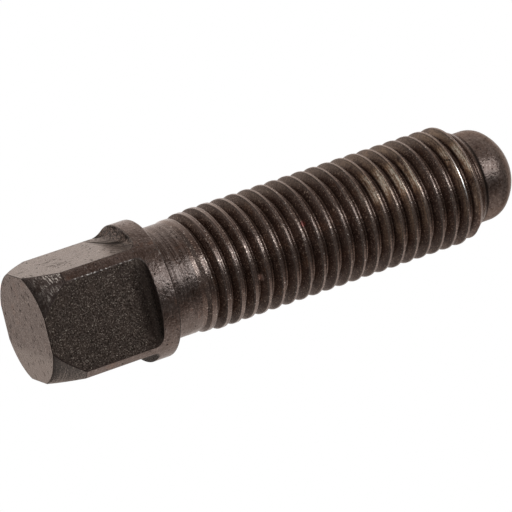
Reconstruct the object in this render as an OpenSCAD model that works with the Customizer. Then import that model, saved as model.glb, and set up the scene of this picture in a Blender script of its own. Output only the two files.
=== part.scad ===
// Square head clamping screw with a collar and a short point with a rounded end.
// It is turned from round bar, the four flats are milled, and the thread is rolled.
// It stands on the end face of its head, and its axis is Z.

/* [Thread] */
// Diameter over the thread crests
thread_d = 15.9; // [15:0.1:16.6]
// Distance from one thread crest to the next
pitch = 2; // [1.5:0.1:2.5]
// Depth of the thread, from crest to root
thread_depth = 1.18; // [0.9:0.01:1.3]
// Length from the underside of the collar to the tip
under_l = 53.9; // [45:0.1:62]
// Distance from the collar to the middle of the first groove
thread_start = 4.2; // [3.6:0.1:9]
// Direction in which the first groove starts, seen from the head end
thread_turn = 215; // [0:1:359]
// Turns over which the groove reaches its full depth
run_out = 1; // [0.5:0.1:2]
// Turns over which the crests rise to their full height
crest_rise = 2; // [1:0.1:4]
// Width of the crests beside the collar, where the rolls bite last
crest_start_w = 0.85; // [0.5:0.01:0.9]
// Width of the crests along the rest of the thread
crest_w = 0.36; // [0.2:0.01:0.45]
// Turns over which the crests narrow from one width to the other
narrowing = 6; // [1:0.5:10]

/* [Head] */
// Width of the head across two flats
across_flats = 14; // [13.6:0.1:16]
// Diameter of the bar that head and collar are turned from, as a multiple of that width
bar_ratio = 1.31; // [1.26:0.01:1.36]
// Length of the head, from its end face to the collar
head_l = 14.65; // [11:0.05:18]
// Length of the cone turned on the end of the head
cone_l = 3.9; // [2:0.05:5]
// Diameter of the flat end face, as a multiple of the width across the flats
end_ratio = 1.05; // [0.9:0.01:1.08]
// Radius that the milling cutter leaves between a flat and the collar
cutter_r = 1; // [0.4:0.1:1.6]

/* [Collar and shank] */
// Length of the collar
collar_l = 2.6; // [1.8:0.1:5]
// Size of the broken edge on the underside of the collar
collar_edge = 0.2; // [0.1:0.05:0.5]
// Diameter of the plain shank under the collar
shank_d = 14.86; // [14.84:0.01:14.9]
// Radius of the corner between shank and collar
neck_r = 0.5; // [0.2:0.1:1]

/* [Point] */
// How much smaller the point is than the thread root, across the diameter
point_relief = 1.14; // [0.6:0.01:2]
// Length of the straight side of the point
point_side_l = 1.8; // [1.5:0.1:3]
// Length of the rounded end
dome_l = 4.6; // [4:0.1:5]
// Radius of the corner between the side and the rounded end
corner_r = 3.2; // [1.5:0.1:3.6]
// Angle between the axis and the cone that ends the thread
thread_cone_angle = 38; // [30:1:50]

/* [Hidden] */
$fn = 96;
steel = [0.27, 0.23, 0.21];
// Head and collar
bar_r = across_flats * bar_ratio / 2;
flat_r = across_flats / 2;
end_r = flat_r * end_ratio;
collar_top = head_l + collar_l;
// Point, measured up the axis
tip_z = collar_top + under_l;
side_end_z = tip_z - dome_l;
point_z = side_end_z - point_side_l;
// Thread
crest_r = thread_d / 2;
root_r = crest_r - thread_depth;
point_r = root_r - point_relief / 2;
shank_r = shank_d / 2;
blank_r = shank_r - 0.03;
// How far the threaded length's first ring lies inside the plain shank, along and across
overlap_l = 0.6;
overlap_r = 0.4;
first_groove_z = collar_top + thread_start;
// The plain shank ends just below the first crest line, and the thread's blank starts inside it
shank_end_z = first_groove_z - pitch / 2 + crest_start_w / 2 - 0.15;
blank_start_z = shank_end_z - 0.1;
// The thread's last ring closes inside the point
core_r = point_r * 0.65;
turns = ceil((point_z + 0.05 - first_groove_z + (pitch - crest_w) / 2) / pitch);
thread_end_z = first_groove_z + turns * pitch + pitch / 2;
// Straight steps to a turn: fewer where there are more turns, to hold the number of faces
fewest_steps = 26;
most_steps = 40;
steps_in_all = 1000;
steps = max(fewest_steps, min(most_steps, floor(steps_in_all / turns)));
arc_steps = 10;
// Half of the narrowest flat that a groove keeps at its bottom
least_root = 0.06;

// Points on an arc about a centre, from one angle to another
function arc(x, y, r, from, to, n = arc_steps) =
    [for (i = [0 : n]) let (a = from + (to - from) * i / n) [x + r * cos(a), y + r * sin(a)]];

function mix(a, b, t) = a + (b - a) * t;

function share(value, whole) = max(0, min(1, value / whole));

// How far the groove has been pressed in after a number of turns, from 0 to 1
function pressed(t) = let (s = share(t, run_out)) s * s * (3 - 2 * s);

// How far a crest has risen, as its metal is pushed up out of the grooves beside it
function risen(t) = share(t + 0.2, crest_rise);

// Crest width after a number of turns
function crest_at(t) = mix(crest_start_w, crest_w, share(t, narrowing));

// Height from the middle of the groove to the crests on both sides
function flank_top(t) = (pitch - crest_at(t)) / 2;

// Half of the flat bottom of the groove
function root_half(t) = flank_top(t) - thread_depth * tan(30);

// The cone that ends the thread at the point, continued a little inside the point
function end_cone(z) = max(core_r, point_r + (point_z - z) * tan(thread_cone_angle));

// One of the four corners of the groove's section, as [radius, height]:
// crest below, root start, root end, crest above
function corner(t, k) =
    let (
        side = k < 2 ? -1 : 1,
        on_crest = k == 0 || k == 3,
        z = first_groove_z + pitch * t + side * (on_crest ? flank_top(t) : max(least_root, root_half(t))),
        r = on_crest ? mix(blank_r, crest_r, risen(t + side / 2)) : mix(blank_r, root_r, pressed(t))
    )
    [min(r, end_cone(z)), z];

function turned(rz, step) =
    let (a = thread_turn + 360 * step / steps)
    [rz[0] * cos(a), rz[0] * sin(a), rz[1]];

// The threaded length: four edges wound up the shank, one step at a time, and joined by faces.
// Each end is closed by flat rings inside the shank and inside the point.
module threaded_length() {
    n = steps;
    last = turns * n;
    winding = [for (h = [0 : last], k = [0 : 3]) turned(corner(h / n, k), h)];
    rings = [
        for (rz = [
            [blank_r - overlap_r, shank_end_z - overlap_l],
            [blank_r, blank_start_z],
            [end_cone(thread_end_z), thread_end_z]
        ])
        for (j = [0 : n - 1]) turned(rz, j)
    ];
    base = len(winding);
    top_turn = last - n;
    // Index of a corner of the winding, and of a point of a ring
    function w(h, k) = 4 * h + k;
    function r(i, j) = base + i * n + j % n;
    function quad(a, b, c, d) = [[a, b, c], [a, c, d]];
    faces = concat(
        [[for (j = [n - 1 : -1 : 0]) r(0, j)]],
        [for (j = [0 : n - 1]) each quad(r(0, j), r(0, j + 1), r(1, j + 1), r(1, j))],
        // Up to the first crest line, and round the column where the groove starts
        [for (j = [0 : n - 2]) each quad(r(1, j), r(1, j + 1), w(j + 1, 0), w(j, 0))],
        [[w(n - 1, 0), r(1, n - 1), r(1, 0)], [w(n - 1, 0), r(1, 0), w(0, 0)]],
        [for (k = [0 : 2]) [w(n - 1, 0), w(0, k), w(0, k + 1)]],
        [[w(n - 1, 0), w(0, 3), w(n, 0)]],
        // Flanks and root, then the crest up to the next turn
        [
            for (h = [0 : last - 1], k = [0 : 2])
            each quad(w(h, k), w(h + 1, k), w(h + 1, k + 1), w(h, k + 1))
        ],
        [
            for (h = [0 : top_turn - 1])
            each quad(w(h, 3), w(h + 1, 3), w(h + n + 1, 0), w(h + n, 0))
        ],
        // Round the column where the groove ends, and up to the last ring
        [[w(top_turn, 3), w(top_turn + 1, 3), w(last, 0)]],
        [for (k = [0 : 2]) [w(last, k), w(top_turn + 1, 3), w(last, k + 1)]],
        [[w(last, 3), w(top_turn + 1, 3), r(2, 0)], [w(top_turn + 1, 3), r(2, 1), r(2, 0)]],
        [
            for (j = [1 : n - 1])
            each quad(w(top_turn + j, 3), w(top_turn + j + 1, 3), r(2, j + 1), r(2, j))
        ],
        [[for (j = [0 : n - 1]) r(2, j)]]
    );
    outward = [for (f = faces) [for (i = [len(f) - 1 : -1 : 0]) f[i]]];
    polyhedron(points = concat(winding, rings), faces = outward);
}

// Head, collar and plain shank as turned, before the flats are milled
module turned_blank() {
    rotate_extrude()
        polygon(concat(
            [[0, 0], [end_r, 0], [bar_r, cone_l], [bar_r, collar_top - collar_edge]],
            [[bar_r - collar_edge, collar_top]],
            arc(shank_r + neck_r, collar_top + neck_r, neck_r, 270, 180, 4),
            [[shank_r, shank_end_z], [0, shank_end_z]]
        ));
}

// What the cutter takes away to make one flat: its edge leaves a radius against the collar
module milled_flat() {
    reach = bar_r + 1;
    rotate([90, 0, 0])
        linear_extrude(height = 2 * reach, center = true)
            polygon(concat(
                [[reach, head_l], [reach, -1], [flat_r, -1]],
                arc(flat_r + cutter_r, head_l - cutter_r, cutter_r, 180, 90, 6)
            ));
}

module head_and_shank() {
    difference() {
        turned_blank();
        for (a = [0 : 90 : 270])
            rotate([0, 0, a]) milled_flat();
    }
}

// Short point with a rounded end: a corner radius that runs into a flatter dome
module point() {
    inner = point_r - corner_r;
    dome_r = (pow(inner, 2) + pow(dome_l, 2) - pow(corner_r, 2)) / (2 * (dome_l - corner_r));
    dome_z = tip_z - dome_r;
    meet = atan2(side_end_z - dome_z, inner);
    dome = arc(0, dome_z, dome_r, meet, 90);
    rotate_extrude()
        polygon(concat(
            [[0, point_z - 1], [point_r, point_z - 1]],
            arc(inner, side_end_z, corner_r, 0, meet),
            [for (i = [1 : arc_steps]) dome[i]]
        ));
}

module bolt() {
    color(steel)
        union() {
            head_and_shank();
            threaded_length();
            point();
        }
}

bolt();
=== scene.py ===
import math

import bmesh
import bpy
from mathutils import Matrix, Vector


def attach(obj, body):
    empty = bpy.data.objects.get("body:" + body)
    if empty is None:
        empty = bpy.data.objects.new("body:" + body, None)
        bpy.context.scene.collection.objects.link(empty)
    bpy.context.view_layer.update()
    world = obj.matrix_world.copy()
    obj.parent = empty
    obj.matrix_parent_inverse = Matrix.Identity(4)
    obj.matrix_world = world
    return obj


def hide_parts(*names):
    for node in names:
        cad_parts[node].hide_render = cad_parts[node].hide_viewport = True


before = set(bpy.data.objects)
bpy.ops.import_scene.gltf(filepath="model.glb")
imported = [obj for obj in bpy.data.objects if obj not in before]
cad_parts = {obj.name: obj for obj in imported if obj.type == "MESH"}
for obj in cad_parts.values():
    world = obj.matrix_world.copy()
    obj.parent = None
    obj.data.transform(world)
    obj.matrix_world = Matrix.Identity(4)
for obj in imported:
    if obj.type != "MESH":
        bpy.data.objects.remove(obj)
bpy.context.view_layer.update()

# Head, collar and plain shank.
# One round steel bar, turned: flat end, short cone, collar, and the blank for the thread.
# All sizes are in millimetres and become metres where the vertices are made.
MM = 0.001
# A little under the solid's 9.17, so that the box of this mesh stays inside the box of the solid's
BAR_R = 9.1625
FLAT_R = 7.0
END_RATIO = 1.05
END_R = FLAT_R * END_RATIO
CONE_L = 3.9
HEAD_L = 14.65
COLLAR_L = 2.6
COLLAR_TOP = HEAD_L + COLLAR_L
COLLAR_EDGE = 0.2
SHANK_R = 7.43
NECK_R = 0.5
# Height at which the turned length ends and the threaded length is welded to it
SHANK_CUT_Z = 19.3
# Columns of vertices round the axis, the same on each length so that the lengths weld, and the gap
# between the rows of vertices along it
COLUMNS = 172
ROW_GAP = 1.1


def arc(x, y, radius, start, end, parts):
    """Points on an arc about a centre, from one angle to another, in degrees."""
    angles = [math.radians(start + (end - start) * i / parts) for i in range(parts + 1)]
    return [(x + radius * math.cos(a), y + radius * math.sin(a)) for a in angles]


def with_rows(profile, gap):
    """The same profile with more points along its long straight lengths."""
    rows = [profile[0]]
    for (r0, z0), (r1, z1) in zip(profile, profile[1:]):
        parts = max(1, round(math.hypot(r1 - r0, z1 - z0) / gap))
        rows += [(r0 + (r1 - r0) * i / parts, z0 + (z1 - z0) * i / parts) for i in range(1, parts + 1)]
    return rows


def turned(mesh, profile):
    """Spins a profile of (radius, height) once round the axis."""
    verts = [mesh.verts.new((r * MM, 0, z * MM)) for r, z in profile]
    edges = [mesh.edges.new(pair) for pair in zip(verts, verts[1:])]
    bmesh.ops.spin(mesh, geom=verts + edges, cent=(0, 0, 0), axis=(0, 0, 1), dvec=(0, 0, 0),
                   angle=math.tau, steps=COLUMNS, use_merge=True, use_duplicate=False)


blank = bmesh.new()
turned(blank, with_rows(
    [(END_R, 0), (BAR_R, CONE_L), (BAR_R, COLLAR_TOP - COLLAR_EDGE), (BAR_R - COLLAR_EDGE, COLLAR_TOP)]
    + arc(SHANK_R + NECK_R, COLLAR_TOP + NECK_R, NECK_R, 270, 180, 8)
    + [(SHANK_R, SHANK_CUT_Z)], ROW_GAP))
bmesh.ops.holes_fill(blank, edges=[e for e in blank.edges if e.is_boundary], sides=0)
bmesh.ops.recalc_face_normals(blank, faces=blank.faces)


def node(tree, kind, settings=None, **sockets):
    """A shader node with its settings, and values or links in its sockets, by name or as _0, _1."""
    made = tree.nodes.new("ShaderNode" + kind)
    for name, value in (settings or {}).items():
        setattr(made, name, value)
    for name, value in sockets.items():
        socket = made.inputs[int(name[1:])] if name[1:].isdigit() else made.inputs[name.replace("_", " ")]
        if isinstance(value, bpy.types.NodeSocket):
            tree.links.new(value, socket)
        elif socket.type == "RGBA":
            socket.default_value = (*value, 1)
        else:
            socket.default_value = value
    return made


def sums(tree, operation, a, b=0.0, c=0.0):
    return node(tree, "Math", {"operation": operation}, _0=a, _1=b, _2=c).outputs[0]


def times(tree, product, *others):
    """Masks and amounts multiplied together."""
    for other in others:
        product = sums(tree, "MULTIPLY", product, other)
    return product


def most(tree, strongest, *others):
    """The strongest of some masks at each place."""
    for other in others:
        strongest = sums(tree, "MAXIMUM", strongest, other)
    return strongest


def total(tree, start, *shares):
    """A start, and shares of other values added to it, each given as an amount and the value."""
    for amount, value in shares:
        start = sums(tree, "MULTIPLY_ADD", value, amount, start)
    return start


def ramp(tree, value, low, high, to_low=0.0, to_high=1.0):
    """A value brought from one range to another, with soft ends."""
    return node(tree, "MapRange", {"interpolation_type": "SMOOTHSTEP"}, Value=value, From_Min=low,
                From_Max=high, To_Min=to_low, To_Max=to_high).outputs[0]


def blend(tree, factor, a, b):
    """One colour turned into another. The Mix node keeps its colours in sockets 6 and 7, and gives 2."""
    return node(tree, "Mix", {"data_type": "RGBA"}, _0=factor, _6=a, _7=b).outputs[2]


def painted(tree, colour, mask, paint, amount=1.0):
    """A colour under a paint that lies where the mask says, at most as thick as the amount."""
    return blend(tree, mask if amount == 1.0 else times(tree, mask, amount), colour, paint)


def noise(tree, where, scale, detail, roughness=0.5):
    """Clouds of 0 to 1."""
    return node(tree, "TexNoise", Vector=where, Scale=scale, Detail=detail, Roughness=roughness).outputs[0]


def shifted(tree, where, offset):
    return node(tree, "VectorMath", {"operation": "ADD"}, _0=where, _1=offset).outputs[0]


def stretched(tree, where, factors):
    return node(tree, "VectorMath", {"operation": "MULTIPLY"}, _0=where, _1=factors).outputs[0]


def from_axis(tree, x, y):
    return sums(tree, "SQRT", sums(tree, "MULTIPLY_ADD", x, x, times(tree, y, y)))


def scattered(tree, cells, full_to, gone_at, share):
    """Spots in the middle of a share of the cells, full up to one distance and gone at another."""
    near = node(tree, "MapRange", Value=cells["Distance"], From_Min=full_to, From_Max=gone_at, To_Min=1.0,
                To_Max=0.0).outputs[0]
    lot = node(tree, "SeparateColor", Color=cells["Color"]).outputs[0]
    return times(tree, near, sums(tree, "LESS_THAN", lot, share))


def effect(name, takes, gives):
    """A node group for an effect that several finishes share."""
    group = bpy.data.node_groups.new(name, "ShaderNodeTree")
    for label, value in takes.items():
        kind = "NodeSocketVector" if isinstance(value, tuple) else "NodeSocketFloat"
        group.interface.new_socket(label, in_out="INPUT", socket_type=kind).default_value = value
    for label in gives:
        group.interface.new_socket(label, in_out="OUTPUT", socket_type="NodeSocketFloat")
    return group, group.nodes.new("NodeGroupInput").outputs, group.nodes.new("NodeGroupOutput").inputs


def placed(tree, group, where, **values):
    """An effect placed in a finish: what it gives there."""
    return node(tree, "Group", {"node_tree": group}, Place=where, **values).outputs


def steel(name):
    """Steel under black oxide: material, tree, shader, and the place on the piece in millimetres."""
    finish = bpy.data.materials.new(name)
    finish.use_nodes = True
    tree = finish.node_tree
    shader = tree.nodes["Principled BSDF"].inputs
    shader["Metallic"].default_value = 0.75
    shader["IOR"].default_value = 1.6
    shader["Specular Tint"].default_value = (0.95, 0.84, 0.78, 1)
    where = node(tree, "TexCoord").outputs["Object"]
    where = node(tree, "VectorMath", {"operation": "SCALE"}, Vector=where, Scale=1 / MM).outputs[0]
    return finish, tree, shader, where


def dressed(tree, shader, colour, rough, height, depth):
    """Joins a finish's colour, roughness and relief, whose depth is in millimetres, to its shader."""
    tree.links.new(colour, shader["Base Color"])
    tree.links.new(rough, shader["Roughness"])
    bump = node(tree, "Bump", Strength=1.0, Distance=depth * MM, Height=height)
    tree.links.new(bump.outputs[0], shader["Normal"])


# Cloudy patches of thicker and thinner oxide, the grain of the etched surface, light flecks and rust
oxide, given, wanted = effect("oxide", {"Place": (0, 0, 0), "Patch": 2.5, "Grain": 0.3},
                              ["Patches", "Grain", "Flecks", "Rust"])
close = sums(oxide, "DIVIDE", 1.0, given["Grain"])
patches = noise(oxide, given["Place"], sums(oxide, "DIVIDE", 1.0, given["Patch"]), 4.0, 0.6)
grain = noise(oxide, given["Place"], close, 2.0, 0.6)
flecks = noise(oxide, shifted(oxide, given["Place"], (11.0, 4.0, 8.0)), times(oxide, close, 1.3), 1.0, 0.6)
rust = noise(oxide, shifted(oxide, given["Place"], (3.0, 7.0, 5.0)), 0.45, 5.0, 0.7)
oxide.links.new(ramp(oxide, patches, 0.34, 0.66), wanted["Patches"])
oxide.links.new(ramp(oxide, grain, 0.3, 0.7), wanted["Grain"])
oxide.links.new(ramp(oxide, flecks, 0.56, 0.72), wanted["Flecks"])
oxide.links.new(ramp(oxide, rust, 0.55, 0.68), wanted["Rust"])

# Small round pits or specks, scattered
specks, given, wanted = effect("specks", {"Place": (0, 0, 0), "Spacing": 0.3, "Radius": 0.05, "Share": 0.3},
                               ["Specks"])
nudge = node(specks, "TexNoise", Vector=given["Place"], Scale=4.0, Detail=2.0).outputs[1]
moved = node(specks, "VectorMath", {"operation": "MULTIPLY_ADD"}, _0=nudge, _1=(0.25, 0.25, 0.25),
             _2=given["Place"]).outputs[0]
cells = node(specks, "TexVoronoi", Vector=moved, Scale=sums(specks, "DIVIDE", 1.0, given["Spacing"])).outputs
reach = sums(specks, "DIVIDE", given["Radius"], given["Spacing"])
spots = scattered(specks, cells, times(specks, reach, 0.5), times(specks, reach, 1.2), given["Share"])
specks.links.new(spots, wanted["Specks"])

# Fine lines from a tool: round the axis where Round is 1, and straight across it where Round is 0
tool_lines, given, wanted = effect(
    "tool_lines", {"Place": (0, 0, 0), "Spacing": 0.12, "Round": 1.0, "Break": 0.3}, ["Lines"])
x, y, up = node(tool_lines, "SeparateXYZ", Vector=given["Place"]).outputs
per = sums(tool_lines, "DIVIDE", 1.0, given["Spacing"])
outwards = times(tool_lines, from_axis(tool_lines, x, y), per, given["Round"])
counted = node(tool_lines, "CombineXYZ", X=outwards, Y=times(tool_lines, up, per)).outputs[0]
breaks = node(tool_lines, "CombineXYZ", X=given["Break"], Y=given["Break"]).outputs[0]
broken = node(tool_lines, "VectorMath", {"operation": "MULTIPLY_ADD"}, _0=given["Place"], _1=breaks,
              _2=counted).outputs[0]
tool_lines.links.new(ramp(tool_lines, noise(tool_lines, broken, 1.0, 2.0, 0.6), 0.3, 0.7), wanted["Lines"])

# Turned surfaces: end face, cone, corner strips, collar and shank. They have tool lines and dark pits.
# The end face also has dashes that lie one way, the cone has light, broken turning marks on one
# side, and the shank has long dark and pale lines. The cone's +X side is painted paler, as painted light.
DASH_TURN = 0.26
DASH_L, DASH_W = 0.7, 0.11
turned_steel, tree, shader, where = steel("turned_steel")
shader["Specular Tint"].default_value = (0.88, 0.76, 0.70, 1)
x, _, up = node(tree, "SeparateXYZ", Vector=where).outputs
film = placed(tree, oxide, where, Patch=1.7, Grain=0.34)
lines = placed(tree, tool_lines, where, Spacing=0.17)["Lines"]
pits = placed(tree, specks, where, Spacing=0.6, Radius=0.12, Share=0.4)["Specks"]
dash_place = node(tree, "VectorRotate", {"rotation_type": "EULER_XYZ"}, Vector=where,
                  Rotation=(0.0, 0.0, DASH_TURN)).outputs[0]
dash_place = stretched(tree, dash_place, (0.5 / DASH_L, 0.25 / DASH_W, 0.25 / DASH_W))
dash_cells = node(tree, "TexVoronoi", Vector=dash_place, Scale=1.0).outputs
dashes = times(tree, scattered(tree, dash_cells, 0.12, 0.3, 0.36), ramp(tree, up, 0.3, 0.1))
marks = most(tree, times(tree, pits, 0.9), dashes)
on_cone = ramp(tree, up, CONE_L + 0.4, CONE_L - 0.1)
here_and_there = ramp(tree, noise(tree, where, 1.3, 3.0, 0.7), 0.40, 0.58)
strokes = ramp(tree, placed(tree, tool_lines, where, Spacing=0.15, Break=1.3)["Lines"], 0.50, 0.8)
strokes = times(tree, strokes, here_and_there, on_cone, ramp(tree, x, -2.6, -4.9), ramp(tree, up, -0.2, 3.0))
# Painted light: the +X side of the cone is made paler
paler = times(tree, on_cone, ramp(tree, x, 2.0, 4.0))
on_shank = ramp(tree, up, COLLAR_TOP - 0.05, COLLAR_TOP + 0.25)
line_depth = total(tree, 0.5, (0.2, on_shank))
long_lines = placed(tree, tool_lines, where, Spacing=0.26, Break=0.07)["Lines"]
lined = times(tree, on_shank, ramp(tree, x, 1.0, -4.0, 0.2, 1.0))
dark_lines = times(tree, lined, ramp(tree, long_lines, 0.45, 0.85, 0.0, 0.55))
pale_lines = times(tree, lined, ramp(tree, long_lines, 0.5, 0.1, 0.0, 0.30))
flecked = times(tree, film["Flecks"], total(tree, 0.4, (0.25, on_cone)))
colour = blend(tree, film["Patches"], (0.048, 0.029, 0.022), (0.096, 0.070, 0.060))
colour = painted(tree, colour, film["Rust"], (0.110, 0.055, 0.036), 0.7)
colour = painted(tree, colour, film["Grain"], (0.140, 0.108, 0.095), 0.3)
colour = painted(tree, colour, times(tree, lines, line_depth), (0.028, 0.018, 0.014))
colour = painted(tree, colour, dark_lines, (0.020, 0.013, 0.010))
colour = painted(tree, colour, pale_lines, (0.175, 0.140, 0.122))
colour = painted(tree, colour, marks, (0.006, 0.004, 0.003))
colour = painted(tree, colour, flecked, (0.25, 0.20, 0.175))
# Painted light on the cone's +X side
colour = painted(tree, colour, paler, (0.185, 0.150, 0.130), 0.75)
colour = painted(tree, colour, strokes, (0.74, 0.63, 0.55))
rough = total(tree, 0.25, (0.6, marks), (0.06, film["Grain"]))
relief = total(tree, film["Grain"], (-2.0, marks), (line_depth, lines))
dressed(tree, shader, colour, rough, relief, 0.020)

# The four flats.
# Each is milled across the head, and the cutter's rounded edge leaves a radius
# and a flat wall against the collar. All sharp edges are lightly broken.
CUTTER_R = 1.0
CUTTER_REACH = 12.0
EDGE_BREAK = 0.09
# Edges sharper than this are broken, and faces larger than this, in square millimetres, are flat
SHARP_DEG = 13
FLAT_AREA = 30
# Vertices this close become one after the milling, and edges this short go
MILLED_GAP, SHORT_EDGE = 0.02, 0.005
HAIR = 0.01
# The numbers of the five finishes on the finished screw
TURNED, MILLED, EDGE, THREAD, POINT = range(5)


def as_object(mesh, name):
    data = bpy.data.meshes.new(name)
    mesh.to_mesh(data)
    made = bpy.data.objects.new(name, data)
    bpy.context.scene.collection.objects.link(made)
    return made


def milled_away(solid, cutters):
    """The solid's mesh once each cutter has gone through it."""
    made = as_object(solid, "blank_before_milling")
    for tool in cutters:
        cut = made.modifiers.new("cut", "BOOLEAN")
        cut.operation, cut.solver, cut.object = "DIFFERENCE", "EXACT", tool
    result = bpy.data.meshes.new_from_object(made.evaluated_get(bpy.context.evaluated_depsgraph_get()))
    mesh = bmesh.new()
    mesh.from_mesh(result)
    for spare in [made, *cutters]:
        bpy.data.objects.remove(spare)
    return mesh


cutters = []
outline = [(CUTTER_REACH, HEAD_L), (CUTTER_REACH, -1), (FLAT_R, -1)]
outline += arc(FLAT_R + CUTTER_R, HEAD_L - CUTTER_R, CUTTER_R, 180, 90, 12)
for quarter in range(4):
    tool = bmesh.new()
    near_face = tool.faces.new([tool.verts.new((x * MM, -CUTTER_REACH * MM, z * MM)) for x, z in outline])
    drawn_out = bmesh.ops.extrude_face_region(tool, geom=[near_face])["geom"]
    bmesh.ops.translate(tool, verts=[v for v in drawn_out if isinstance(v, bmesh.types.BMVert)],
                        vec=(0, 2 * CUTTER_REACH * MM, 0))
    bmesh.ops.recalc_face_normals(tool, faces=tool.faces)
    bmesh.ops.rotate(tool, verts=tool.verts, cent=(0, 0, 0),
                     matrix=Matrix.Rotation(quarter * math.pi / 2, 3, "Z"))
    for face in tool.faces:
        face.material_index = MILLED
    cutters.append(as_object(tool, f"cutter_{quarter}"))

screw = milled_away(blank, cutters)
bmesh.ops.remove_doubles(screw, verts=screw.verts, dist=MILLED_GAP * MM)
bmesh.ops.dissolve_degenerate(screw, edges=screw.edges, dist=SHORT_EDGE * MM)
cap = [f for f in screw.faces if f.calc_center_median().z > (SHANK_CUT_Z - HAIR) * MM]
bmesh.ops.delete(screw, geom=cap, context="FACES")
sharp = [e for e in screw.edges if len(e.link_faces) == 2
         and e.calc_face_angle() > math.radians(SHARP_DEG) and e.verts[0].co.z < (COLLAR_TOP + HAIR) * MM]
bevelled = bmesh.ops.bevel(screw, geom=sharp, offset=EDGE_BREAK * MM, offset_type="OFFSET", affect="EDGES",
                           segments=2, profile=0.5, material=-1, clamp_overlap=False)
for face in bevelled["faces"]:
    face.material_index = EDGE
for face in screw.faces:
    face.smooth = face.calc_area() < FLAT_AREA * MM * MM

# Beads of bare steel, where the flat that faces the front is rubbed along an edge
rubbing, given, wanted = effect("rubbing", {"Place": (0, 0, 0)}, ["Rubbed"])
beads = ramp(rubbing, noise(rubbing, given["Place"], 3.2, 3.0), 0.47, 0.64)
y = node(rubbing, "SeparateXYZ", Vector=given["Place"]).outputs[1]
rubbing.links.new(times(rubbing, beads, ramp(rubbing, y, -6.2, -6.8)), wanted["Rubbed"])

# The milled flats: a dull, grainy oxide with dark pits and faint marks across from the cutter, and
# light specks that lie in drifts. The edge towards one corner strip is rubbed, and the wall at the
# collar is rough and dark.
milled_steel, tree, shader, where = steel("milled_steel")
x, y, up = node(tree, "SeparateXYZ", Vector=where).outputs
film = placed(tree, oxide, where, Patch=1.3, Grain=0.22)
bare = placed(tree, specks, where, Spacing=0.33, Radius=0.068, Share=0.5)["Specks"]
drifts = ramp(tree, noise(tree, where, 0.55, 3.0), 0.38, 0.60, 0.35, 1.0)
bands = placed(tree, tool_lines, where, Spacing=0.8, Round=0.0)["Lines"]
pits = placed(tree, specks, shifted(tree, where, (5.0, 2.0, 3.0)), Spacing=0.6, Radius=0.13,
              Share=0.4)["Specks"]
by_collar = sums(tree, "COMPARE", up, HEAD_L - 0.8, 0.7)
pits = times(tree, pits, total(tree, 0.7, (-0.7, by_collar)))
on_side = ramp(tree, x, -FLAT_R + 0.1, -FLAT_R + 0.03)
drawn = stretched(tree, where, (1.0, 0.5, 1.0))
wide_pits = ramp(tree, noise(tree, drawn, 1.9, 2.0), 0.64, 0.70)
ridges = noise(tree, stretched(tree, where, (1.0, 0.7, 0.22)), 1.1, 3.0)
cracks = ramp(tree, sums(tree, "ABSOLUTE", sums(tree, "SUBTRACT", ridges, 0.5)), 0.014, 0.004)
cracks = times(tree, cracks, ramp(tree, noise(tree, drawn, 0.5, 0.0), 0.46, 0.54))
pits = most(tree, pits, times(tree, most(tree, wide_pits, cracks), on_side, 0.5))
steps = ramp(tree, placed(tree, tool_lines, where, Spacing=0.9, Round=0.0)["Lines"], 0.3, 0.9)
steps = times(tree, steps, ramp(tree, up, HEAD_L - 2.4, HEAD_L - 1.6), ramp(tree, x, -6.3, -6.8))
marks = most(tree, pits, times(tree, steps, 0.8))
rubbed = times(tree, placed(tree, rubbing, where)["Rubbed"], ramp(tree, x, -5.7, -5.95),
               ramp(tree, up, 4.0, 7.0))
# Painted shade: the flats other than the -X one are made darker near the collar
shade_in_corner = times(tree, ramp(tree, up, 11.5, 13.6), ramp(tree, x, -6.0, -4.0))
at_wall = ramp(tree, up, HEAD_L - CUTTER_R * 0.5, HEAD_L - 0.1)
outer_wall = times(tree, ramp(tree, x, -7.3, -7.9), ramp(tree, y, 3.5, -1.0, 0.35, 1.0))
clots = times(tree, ramp(tree, noise(tree, where, 3.4, 1.0), 0.56, 0.44), outer_wall)
hatch = times(tree, ramp(tree, film["Grain"], 0.25, 0.85), ramp(tree, x, -5.0, -7.0, 0.15, 1.0),
              total(tree, 1.0, (-0.85, clots)))
wall = blend(tree, hatch, (0.026, 0.018, 0.014), (0.36, 0.26, 0.21))
colour = blend(tree, film["Patches"], (0.019, 0.013, 0.009), (0.052, 0.036, 0.027))
colour = painted(tree, colour, film["Rust"], (0.070, 0.042, 0.028), 0.35)
colour = painted(tree, colour, bands, (0.022, 0.014, 0.011), 0.55)
colour = painted(tree, colour, film["Grain"], (0.122, 0.088, 0.072), 0.6)
# Painted light: the -X flat is made paler
colour = painted(tree, colour, on_side, (0.170, 0.130, 0.108), 0.3)
colour = painted(tree, colour, film["Flecks"], (0.27, 0.215, 0.175), 0.55)
colour = painted(tree, colour, times(tree, bare, drifts), (0.50, 0.42, 0.34), 0.85)
# Painted shade near the collar
colour = painted(tree, colour, shade_in_corner, (0.020, 0.011, 0.008), 0.55)
colour = painted(tree, colour, marks, (0.010, 0.007, 0.005))
colour = painted(tree, colour, at_wall, wall)
colour = painted(tree, colour, rubbed, (0.22, 0.19, 0.17))
rough = total(tree, 0.28, (0.6, marks), (0.10, film["Grain"]))
relief = total(tree, film["Flecks"], (-8.0, marks), (total(tree, 1.0, (4.0, at_wall)), film["Grain"]))
dressed(tree, shader, colour, rough, relief, 0.012)

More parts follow.
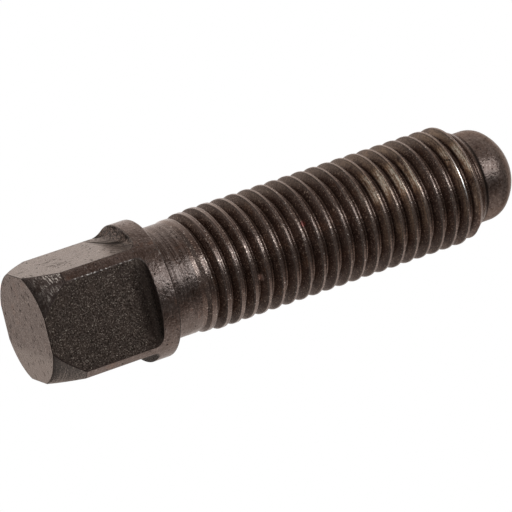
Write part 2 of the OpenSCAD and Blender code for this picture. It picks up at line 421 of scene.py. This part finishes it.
# Broken edges: as dark as the faces beside them, rubbed bright on the same edge, and paler where
# the collar meets the wall on one side
edge_steel, tree, shader, where = steel("edge_steel")
x, _, up = node(tree, "SeparateXYZ", Vector=where).outputs
film = placed(tree, oxide, where, Patch=0.9, Grain=0.25)
rubbed = times(tree, placed(tree, rubbing, where)["Rubbed"], ramp(tree, x, -4.5, -5.5),
               ramp(tree, up, 4.2, 5.5))
at_collar = times(tree, ramp(tree, up, HEAD_L - 0.3, HEAD_L - 0.1), ramp(tree, x, -6.6, -7.2),
                  ramp(tree, film["Grain"], 0.1, 0.7))
colour = blend(tree, film["Patches"], (0.022, 0.014, 0.011), (0.042, 0.029, 0.024))
colour = painted(tree, colour, at_collar, (0.21, 0.165, 0.14))
colour = painted(tree, colour, rubbed, (0.22, 0.19, 0.17))
rough = total(tree, 0.36, (0.15, film["Grain"]))
dressed(tree, shader, colour, rough, film["Grain"], 0.02)

# The thread.
# Rolled cold between dies, so the grooves are pressed in and their metal is pushed up into
# the crests, where it closes over a fine seam. A cone ends the thread at the point.
PITCH = 2.0
THREAD_DEPTH = 1.18
CREST_R = 7.95
ROOT_R = CREST_R - THREAD_DEPTH
THREAD_START = 4.2
FIRST_GROOVE_Z = COLLAR_TOP + THREAD_START
# Where round the axis the groove starts, and the turns from there over which it reaches its depth,
# the crests rise, and the crests narrow from one width to the other
THREAD_TURN = 215 / 360
RUN_OUT = 1.0
CREST_LEAD, CREST_RISE = 0.2, 2.0
CREST_START_W, CREST_W = 0.85, 0.36
NARROWING = 6.0
FLANK_SLOPE = math.tan(math.radians(30))
LEAST_ROOT = 0.06
SEAM_DEPTH, SEAM_HALF_W = 0.035, 0.055
# How far a crest's two corners are rounded, along the crest and down the flank, and in how many
# parts, and how far up the flank a root's corner is
HEADWARD_CORNER = (0.07, 0.07, 2)
TIPWARD_CORNER = (0.10, 0.34, 4)
ROOT_CORNER = 0.14
# The point, at whose side the thread ends in a cone
UNDER_L = 53.9
TIP_Z = COLLAR_TOP + UNDER_L
DOME_L = 4.6
SIDE_END_Z = TIP_Z - DOME_L
POINT_SIDE_L = 1.8
POINT_Z = SIDE_END_Z - POINT_SIDE_L
POINT_RELIEF = 1.14
POINT_R = ROOT_R - POINT_RELIEF / 2
CONE_SLOPE = math.tan(math.radians(38))
# The copies of one turn start on the X axis, below the shank's end, and end above the point's start
TURNS_MADE = 25
FIRST_TURN = -2 - THREAD_TURN
WELD_GAP = 0.002
SAME_R = 0.004


def share(value, whole):
    return max(0.0, min(1.0, value / whole))


def mix(a, b, t):
    return a + (b - a) * t


def towards(corner, other, length):
    away = math.dist(corner, other)
    return tuple(mix(c, o, length / away) for c, o in zip(corner, other))


def rounded(before, corner, after, length_in, length_out, parts):
    """Points of the curve that rounds a corner."""
    start, end = towards(corner, before, length_in), towards(corner, after, length_out)
    bends = [i / parts for i in range(parts + 1)]
    return [tuple(a * (1 - s) ** 2 + 2 * c * s * (1 - s) + b * s * s for a, c, b in zip(start, corner, end))
            for s in bends]


def groove_side(turn, side):
    """Half of the groove's section, from the middle of the crest down to the middle of the root."""
    pressed = share(turn, RUN_OUT)
    crest = mix(SHANK_R, CREST_R, share(turn + CREST_LEAD + side / 2, CREST_RISE))
    root = mix(SHANK_R, ROOT_R, pressed * pressed * (3 - 2 * pressed))
    half_crest = mix(CREST_START_W, CREST_W, share(turn, NARROWING)) / 2
    flank_top = PITCH / 2 - half_crest
    root_half = max(LEAST_ROOT, flank_top - THREAD_DEPTH * FLANK_SLOPE)
    middle, top, bottom, centre = (crest, PITCH / 2), (crest, flank_top), (root, root_half), (root, 0)
    rise = share(crest - SHANK_R, CREST_R - SHANK_R)
    points = [(crest - SEAM_DEPTH * rise, PITCH / 2), (crest, PITCH / 2 - SEAM_HALF_W)]
    points += rounded(middle, top, bottom, *(HEADWARD_CORNER if side > 0 else TIPWARD_CORNER))
    points += rounded(top, bottom, centre, min(ROOT_CORNER, root_half), root_half * 0.3, 2) + [centre]
    return [(r, side * z) for r, z in points]


def groove(turn):
    low, high = groove_side(turn, -1), groove_side(turn, 1)
    return low + high[-2::-1]


# One full turn is spun, and copies of it are stacked along the thread. Each vertex remembers its
# place in the groove's section.
section = groove(NARROWING)
one_turn = bmesh.new()
section_place = one_turn.verts.layers.int.new("place in the section")
chain = []
for number, (r, z) in enumerate(section):
    chain.append(one_turn.verts.new((CREST_R * MM, 0, z * MM)))
    chain[-1][section_place] = number
chain += [one_turn.edges.new(pair) for pair in zip(chain, chain[1:])]
bmesh.ops.spin(one_turn, geom=chain, cent=(0, 0, 0), axis=(0, 0, 1), dvec=(0, 0, PITCH * MM / COLUMNS),
               angle=math.tau, steps=COLUMNS, use_merge=False, use_duplicate=False)
bmesh.ops.translate(one_turn, verts=one_turn.verts, vec=(0, 0, (FIRST_GROOVE_Z + FIRST_TURN * PITCH) * MM))
turn_mesh = bpy.data.meshes.new("one_turn")
thread = bmesh.new()
thread.verts.layers.int.new("place in the section")
for copy in range(TURNS_MADE):
    one_turn.to_mesh(turn_mesh)
    thread.from_mesh(turn_mesh)
    bmesh.ops.translate(one_turn, verts=one_turn.verts, vec=(0, 0, PITCH * MM))

# Each vertex then moves onto the groove's true section at its own turn of the helix
section_place = thread.verts.layers.int["place in the section"]
sections = {}
for vert in thread.verts:
    risen = vert.co.z / MM - section[vert[section_place]][1] - FIRST_GROOVE_Z
    column = round((risen / PITCH - FIRST_TURN) * COLUMNS)
    turn = column / COLUMNS + FIRST_TURN
    if column not in sections:
        sections[column] = groove(turn)
    r, z = sections[column][vert[section_place]]
    z += FIRST_GROOVE_Z + PITCH * turn
    r = min(r, max(POINT_R, POINT_R + (POINT_Z - z) * CONE_SLOPE))
    angle = math.tau * column / COLUMNS
    z = max(SHANK_CUT_Z, min(POINT_Z, z))
    vert.co = Vector((r * math.cos(angle), r * math.sin(angle), z)) * MM
bmesh.ops.remove_doubles(thread, verts=thread.verts, dist=WELD_GAP * MM)
for face in thread.faces:
    plain = all(abs(vert.co.xy.length - SHANK_R * MM) < SAME_R * MM for vert in face.verts)
    face.material_index = TURNED if plain else THREAD
    face.smooth = True


def reach_towards(tree, where, way):
    """How far a place lies in one direction."""
    return node(tree, "VectorMath", {"operation": "DOT_PRODUCT"}, _0=where, _1=way).outputs["Value"]


def spot(tree, where, centre, radius):
    """A ragged spot round a place on the piece."""
    away = node(tree, "VectorMath", {"operation": "SUBTRACT"}, _0=where, _1=centre).outputs[0]
    away = node(tree, "VectorMath", {"operation": "LENGTH"}, _0=away).outputs["Value"]
    away = total(tree, away, (radius, noise(tree, where, 5.0, 2.0)))
    return ramp(tree, away, radius * 1.5, radius * 1.1)


# Rolled surfaces. Red-brown in the grooves, with light dust on the flanks, and grit with painted glints
# on the crests. The crests are rubbed, and the flanks that face the head have a thin, brassy oxide on
# one side over two lengths, fullest and palest round one direction as a painted highlight. The last
# crest is bare on that side and painted as a white highlight, and there are a rust spot, a nick and
# some dirt.
BRASSY_FROM, BRASSY_FULL, BRASSY_FADES, BRASSY_TO = 45.5, 49.0, 55.0, 56.3
LAST_BRASSY_FROM, LAST_BRASSY_FULL = 58.8, 60.2
# The directions round which the painted highlights on the brassy flanks and the bare crest are fullest
BRASSY_SHEEN_WAY = (-0.598, -0.802, 0.0)
BARE_HIGHLIGHT_WAY = (-0.330, -0.944, 0.0)
BARE_Z = 61.0
RUST_SPOT, RUST_SPOT_R = (-2.93, -6.10, 37.74), 0.45
DIRT, DIRT_R = (1.83, -6.72, 30.02), 0.60
NICK, NICK_WAY, NICK_R = Vector((-4.70, -5.86, 60.09)), Vector((0.017, -0.914, 0.405)), 0.15
thread_steel, tree, shader, where = steel("thread_steel")
x, y, up = node(tree, "SeparateXYZ", Vector=where).outputs
film = placed(tree, oxide, where, Patch=1.8, Grain=0.26)
bare = placed(tree, specks, where, Spacing=0.42, Radius=0.09, Share=0.35)["Specks"]
dust = placed(tree, specks, shifted(tree, where, (4.0, 1.0, 6.0)), Spacing=0.55, Radius=0.11,
              Share=0.36)["Specks"]
dots = placed(tree, specks, shifted(tree, where, (2.0, 5.0, 1.0)), Spacing=0.5, Radius=0.12,
              Share=0.45)["Specks"]
streaks = placed(tree, tool_lines, where, Spacing=0.15, Break=0.45)["Lines"]
outwards = from_axis(tree, x, y)
turns = sums(tree, "DIVIDE", sums(tree, "ARCTAN2", y, x), math.tau)

# Where a place is on the helix: across the groove from -0.5 to 0.5 with 0 at the root, and how
# far along the groove it is, as far as the first turn where the rolls haven't bitten yet
wound = total(tree, THREAD_TURN - FIRST_GROOVE_Z / PITCH, (1 / PITCH, up), (-1.0, turns))
in_groove = sums(tree, "SUBTRACT", sums(tree, "FRACT", sums(tree, "ADD", wound, 0.5)), 0.5)
from_root = sums(tree, "ABSOLUTE", in_groove)
round_it = sums(tree, "FRACT", sums(tree, "SUBTRACT", turns, THREAD_TURN))
groove_made = total(tree, -FIRST_GROOVE_Z / PITCH, (1 / PITCH, up), (-1.0, round_it))
groove_made = sums(tree, "ROUND", groove_made)
not_rolled = ramp(tree, sums(tree, "ADD", groove_made, round_it), RUN_OUT * 0.6, 0.0)

# What is coloured as crest: the crests and their shoulders, and near the collar also the wide
# lands and the shank that the rolls haven't reached. Then the parts of the groove.
wide_land = times(tree, ramp(tree, from_root, 0.27, 0.33), ramp(tree, up, 29.0, 22.0))
shoulder = times(tree, ramp(tree, outwards, CREST_R - 0.55, CREST_R - 0.25),
                 ramp(tree, in_groove, 0.0, -0.05))
plain_land = times(tree, sums(tree, "COMPARE", outwards, SHANK_R, 0.04), ramp(tree, up, 21.6, 20.6))
crest = most(tree, ramp(tree, outwards, CREST_R - 0.25, CREST_R - 0.08), wide_land, shoulder, not_rolled,
             plain_land)
on_flank = times(tree, ramp(tree, outwards, ROOT_R + 0.25, ROOT_R + 0.5), ramp(tree, in_groove, 0.08, 0.16))
at_root = ramp(tree, outwards, ROOT_R + 0.4, ROOT_R + 0.1)
# Painted shade: a near-black band where the thread's cone meets the point
shade_at_point = ramp(tree, up, POINT_Z - 0.35, POINT_Z - 0.1)

# How brassy the flanks are: it comes in clouds that are drawn out along the groove, and is fullest round
# one direction, as a painted highlight
long_length = times(tree, ramp(tree, up, BRASSY_FROM, BRASSY_FULL), ramp(tree, up, BRASSY_TO, BRASSY_FADES))
lengths = most(tree, long_length, ramp(tree, up, LAST_BRASSY_FROM, LAST_BRASSY_FULL))
along_groove = node(tree, "CombineXYZ", X=times(tree, turns, 16.0), Y=outwards, Z=up).outputs[0]
clouds = noise(tree, along_groove, 1.0, 4.0, 0.65)
# Painted highlight: the brass is fullest round one direction, where the flanks mirror the light
sheen_side = sums(tree, "DIVIDE", reach_towards(tree, where, BRASSY_SHEEN_WAY), outwards)
brass_and_sheen = times(tree, ramp(tree, clouds, 0.30, 0.60), ramp(tree, sheen_side, 0.925, 0.992, 0.2, 1.0),
             ramp(tree, sheen_side, 0.3, 0.7), ramp(tree, streaks, -0.4, 0.8), total(tree, 1.0, (-0.8, dots)),
             ramp(tree, film["Grain"], 0.0, 0.6, 0.62, 1.12))
brassy_and_sheen = times(tree, lengths, on_flank, brass_and_sheen)
# Painted highlight: the brass is paler where it is fullest
brass_and_sheen_colour = blend(tree, ramp(tree, brass_and_sheen, 0.45, 0.8), (0.92, 0.61, 0.39), (1.0, 0.87, 0.70))

# The bare crest, painted as a white highlight; paler brown towards the -X side; and grit on the crests with
# painted glints, on the side where the lamp's highlight falls
bare_crest_and_highlight = times(tree, ramp(tree, from_root, 0.475, 0.49), sums(tree, "COMPARE", up, BARE_Z, 0.8),
                   ramp(tree, reach_towards(tree, where, BARE_HIGHLIGHT_WAY), 6.9, 7.9))
paler_to_minus_x = times(tree, ramp(tree, x, -6.2, -7.6), ramp(tree, up, 26.0, 36.0, 0.4, 1.0),
              total(tree, 0.15, (0.55, film["Grain"])))
# Grit on the crests, partly painted glints: it lies only on the side where the lamp's highlight falls
grit_and_glints = times(tree, crest, film["Flecks"], ramp(tree, x, -6.4, -5.0, 0.0, 0.42),
             ramp(tree, x, 0.0, -1.6, 0.1, 1.0))

# Painted shade: the roots are made darker over the brassy lengths
root_colour_and_shade = blend(tree, lengths, (0.062, 0.039, 0.030), (0.036, 0.021, 0.015))
colour = blend(tree, film["Patches"], (0.050, 0.025, 0.018), (0.096, 0.059, 0.045))
colour = painted(tree, colour, film["Rust"], (0.140, 0.068, 0.038), 0.6)
colour = painted(tree, colour, film["Flecks"], (0.36, 0.25, 0.19), 0.8)
colour = painted(tree, colour, times(tree, dust, clouds), (0.62, 0.46, 0.35), 1.1)
# Paler brown towards the -X side, more so from about 36 mm up
colour = painted(tree, colour, paler_to_minus_x, (0.25, 0.178, 0.134))
colour = painted(tree, colour, at_root, root_colour_and_shade, 0.65)
colour = painted(tree, colour, brassy_and_sheen, brass_and_sheen_colour)
# Painted shade where the thread meets the point
colour = painted(tree, colour, shade_at_point, (0.008, 0.005, 0.004))
colour = painted(tree, colour, crest, (0.108, 0.080, 0.068), 0.6)
colour = painted(tree, colour, wide_land, (0.046, 0.030, 0.024), 0.4)
colour = painted(tree, colour, times(tree, crest, bare), (0.55, 0.48, 0.43), 0.6)
colour = painted(tree, colour, grit_and_glints, (0.72, 0.57, 0.47))
# Painted highlight: the bare last crest is painted nearly white
colour = painted(tree, colour, bare_crest_and_highlight, (1.0, 0.97, 0.92))
colour = painted(tree, colour, spot(tree, where, RUST_SPOT, RUST_SPOT_R), (0.17, 0.060, 0.050))
colour = painted(tree, colour, spot(tree, where, DIRT, DIRT_R), (0.36, 0.25, 0.21))
for step in (-0.39, -0.13, 0.13, 0.39):
    colour = painted(tree, colour, spot(tree, where, NICK + NICK_WAY * step, NICK_R), (0.008, 0.005, 0.004))
rough = total(tree, 0.35, (-0.16, most(tree, crest, at_root)), (0.10, film["Grain"]))
relief = times(tree, film["Grain"], total(tree, 1.0, (-0.65, crest)))
relief = total(tree, relief, (0.8, times(tree, bare, crest)), (0.4, streaks))
relief = times(tree, relief, sums(tree, "SUBTRACT", 1.0, bare_crest_and_highlight))
tree.links.new(total(tree, 0.75, (0.25, brassy_and_sheen)), shader["Metallic"])
dressed(tree, shader, colour, rough, relief, 0.016)

# The point.
# Turned below the root of the thread, so that it can't spread and jam: a short straight side
# and a rounded end that bears on the work.
CORNER_R = 3.2
POINT_ROW_GAP = 0.3
inner = POINT_R - CORNER_R
dome_r = (inner ** 2 + DOME_L ** 2 - CORNER_R ** 2) / (2 * (DOME_L - CORNER_R))
meet = math.degrees(math.atan2(SIDE_END_Z - TIP_Z + dome_r, inner))
point = bmesh.new()
turned(point, with_rows([(POINT_R, POINT_Z), (POINT_R, SIDE_END_Z)], POINT_ROW_GAP)
       + arc(inner, SIDE_END_Z, CORNER_R, 0, meet, 12)[1:]
       + arc(0, TIP_Z - dome_r, dome_r, meet, 90, 14)[1:])
bmesh.ops.remove_doubles(point, verts=point.verts, dist=WELD_GAP * MM)
for face in point.faces:
    face.material_index = POINT
    face.smooth = True

# The point's sandy skin: coarser grain and more pits than the turned surfaces
point_steel, tree, shader, where = steel("point_steel")
shader["Specular Tint"].default_value = (0.60, 0.48, 0.42, 1)
up = node(tree, "SeparateXYZ", Vector=where).outputs[2]
film = placed(tree, oxide, where, Patch=1.5, Grain=0.36)
pits = placed(tree, specks, where, Spacing=0.42, Radius=0.12, Share=0.55)["Specks"]
shade_beside_thread = ramp(tree, up, POINT_Z + 0.35, POINT_Z + 0.1)
colour = blend(tree, film["Patches"], (0.044, 0.027, 0.021), (0.078, 0.056, 0.047))
colour = painted(tree, colour, film["Rust"], (0.060, 0.036, 0.026), 0.4)
colour = painted(tree, colour, film["Grain"], (0.170, 0.130, 0.112), 0.4)
colour = painted(tree, colour, pits, (0.010, 0.006, 0.005), 0.7)
colour = painted(tree, colour, film["Flecks"], (0.30, 0.24, 0.20), 0.3)
# Painted shade: a near-black band on the point, beside the thread
colour = painted(tree, colour, shade_beside_thread, (0.008, 0.005, 0.004))
rough = total(tree, 0.27, (0.4, pits), (0.06, film["Grain"]))
relief = total(tree, film["Grain"], (-1.2, pits))
dressed(tree, shader, colour, rough, relief, 0.015)

# Head, thread and point are welded into one closed skin, which takes the place of the solid
for part in (thread, point):
    data = bpy.data.meshes.new("part")
    part.to_mesh(data)
    screw.from_mesh(data)
bmesh.ops.remove_doubles(screw, verts=screw.verts, dist=WELD_GAP * MM)
bmesh.ops.recalc_face_normals(screw, faces=screw.faces)
bolt = as_object(screw, "clamping_screw")
for finish in (turned_steel, milled_steel, edge_steel, thread_steel, point_steel):
    bolt.data.materials.append(finish)
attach(bolt, "root")
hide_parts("bolt")

# Studio.
# The screw stands on a pale floor. The photograph looks up at it from the head's side, so
# the floor shows only from above.
FLOOR_Z = 0.05
# The other sizes of the floor and the lamp are in metres
FLOOR_SIZE = 3
# Level directions, away from the camera and across its view
AWAY = (0.254, 0.967, 0.0)
ACROSS = (0.967, -0.254, 0.0)
floor_mesh = bmesh.new()
bmesh.ops.create_grid(floor_mesh, x_segments=1, y_segments=1, size=FLOOR_SIZE)
bmesh.ops.translate(floor_mesh, verts=floor_mesh.verts, vec=(0, 0, FLOOR_Z * MM))
floor = as_object(floor_mesh, "floor")

# The camera sees a plain floor from above, and through it from below. The screw mirrors a darker
# floor with a paler strip on one side and a paler far half.
pale = bpy.data.materials.new("pale_floor")
pale.use_nodes = True
tree = pale.node_tree
tree.nodes.clear()
on_floor = node(tree, "TexCoord").outputs["Object"]
behind = reach_towards(tree, on_floor, AWAY)
beside = reach_towards(tree, on_floor, ACROSS)
strip = times(tree, ramp(tree, beside, -0.004, -0.014), ramp(tree, beside, -0.036, -0.022))
near_half = blend(tree, strip, (0.38, 0.38, 0.38), (0.95, 0.95, 0.95))
far_half = blend(tree, ramp(tree, beside, 0.03, -0.05), (0.66, 0.66, 0.66), (1.0, 1.0, 1.0))
mirrored = blend(tree, ramp(tree, behind, 0.030, 0.085), near_half, far_half)
seen = node(tree, "LightPath").outputs["Is Camera Ray"]
top = node(tree, "BsdfDiffuse", Color=blend(tree, seen, mirrored, (0.84, 0.82, 0.805))).outputs[0]
clear = node(tree, "BsdfTransparent").outputs[0]
backing = node(tree, "NewGeometry").outputs["Backfacing"]
one_sided = node(tree, "MixShader", _0=backing, _1=top, _2=clear).outputs[0]
node(tree, "OutputMaterial", Surface=one_sided)
floor.data.materials.append(pale)


def bearing(azimuth, elevation):
    """The direction at an azimuth and an elevation in degrees."""
    a, e = math.radians(azimuth), math.radians(elevation)
    return Vector((math.cos(a) * math.cos(e), math.sin(a) * math.cos(e), math.sin(e)))


# The room: white where the camera sees it and plain for diffuse light. The screw mirrors a darker
# and warmer side, four paler walls, and a ceiling that is darker in two places.
DARK_TO_LIGHT = (0.2326, 0.8870, 0.399)
DARK_CEILINGS = [((0.500, -0.200, 0.843), 0.35), ((-0.050, -0.190, 0.980), 0.5)]
# Each wall's azimuth, the closeness at which it starts and is full, and how much it adds
PALE_WALLS = [(114.0, 0.74, 0.97, 0.38), (-140.7, 0.83, 0.99, 0.35), (-10.0, 0.80, 0.97, 0.75),
              (151.3, 0.85, 0.98, 0.3)]
WALL_ELEVATION = 21.7
DIFFUSE_LIGHT = 0.6
WARM = (1.0, 0.78, 0.68)
world = bpy.data.worlds.new("studio")
bpy.context.scene.world = world
world.use_nodes = True
tree = world.node_tree
tree.nodes.clear()
way = node(tree, "TexCoord").outputs["Generated"]
facing = reach_towards(tree, way, DARK_TO_LIGHT)
in_gloss = ramp(tree, facing, -0.55, 0.15, 0.02, 1.0)
for azimuth, starts, full, amount in PALE_WALLS:
    closeness = reach_towards(tree, way, bearing(azimuth, WALL_ELEVATION))
    in_gloss = sums(tree, "ADD", in_gloss, ramp(tree, closeness, starts, full, 0.0, amount))
for direction, left in DARK_CEILINGS:
    in_gloss = times(tree, in_gloss, ramp(tree, reach_towards(tree, way, direction), 0.80, 0.96, 1.0, left))
rays = node(tree, "LightPath").outputs
glossy = rays["Is Glossy Ray"]
seen = most(tree, rays["Is Camera Ray"], rays["Is Transmission Ray"])
not_seen = sums(tree, "SUBTRACT", 1.0, seen)
light = total(tree, times(tree, glossy, in_gloss), (DIFFUSE_LIGHT, sums(tree, "SUBTRACT", 1.0, glossy)))
warm = times(tree, glossy, not_seen, ramp(tree, facing, 0.2, -0.4))
background = node(tree, "Background", Color=blend(tree, warm, (1, 1, 1), WARM),
                  Strength=total(tree, seen, (not_seen, light))).outputs[0]
node(tree, "OutputWorld", Surface=background)

# One soft lamp, on the camera's side and above it, that looks at the middle of the screw
LAMP_BEARING = bearing(-112.8, 30.0)
LAMP_DISTANCE = 0.8
LAMP_AIM = Vector((0, 0, 0.035))
lamp = bpy.data.lights.new("front_softbox", "AREA")
lamp.shape, lamp.size, lamp.size_y = "RECTANGLE", 0.38, 0.58
lamp.energy = 4.2
lamp.color = (0.84, 0.93, 1.0)
softbox = bpy.data.objects.new("front_softbox", lamp)
softbox.location = LAMP_AIM + LAMP_BEARING * LAMP_DISTANCE
softbox.rotation_euler = LAMP_BEARING.to_track_quat("Z", "Y").to_euler()
softbox.visible_camera = False
bpy.context.scene.collection.objects.link(softbox)

# The camera, fitted to the photograph: its place and its turn are measured from the screw's axis
# and from the side of the screw that it sees, in millimetres
HALF_PIXEL = 0.5 / 512
camera_data = bpy.data.cameras.new("camera")
camera_data.sensor_width = 36
camera_data.lens = 251.55
camera_data.shift_x, camera_data.shift_y = -HALF_PIXEL, HALF_PIXEL
camera_data.clip_start, camera_data.clip_end = 0.01, 20
camera = bpy.data.objects.new("camera", camera_data)
bpy.context.scene.collection.objects.link(camera)
front = bearing(-104.69, 0.0)
axis = Vector((0, 0, 1))
across = axis.cross(front)
camera_right = 0.3773 * front + 0.3251 * across + 0.8672 * axis
camera_up = 0.1297 * front - 0.9457 * across + 0.2981 * axis
camera_back = camera_right.cross(camera_up)
turned_to = Matrix([v.normalized() for v in (camera_right, camera_up, camera_back)]).transposed()
camera.matrix_world = turned_to.to_4x4()
camera.location = (423.532 * front + 0.760 * across - 151.266 * axis) * MM
bpy.context.scene.camera = camera

bpy.context.scene.view_settings.view_transform = "Standard"
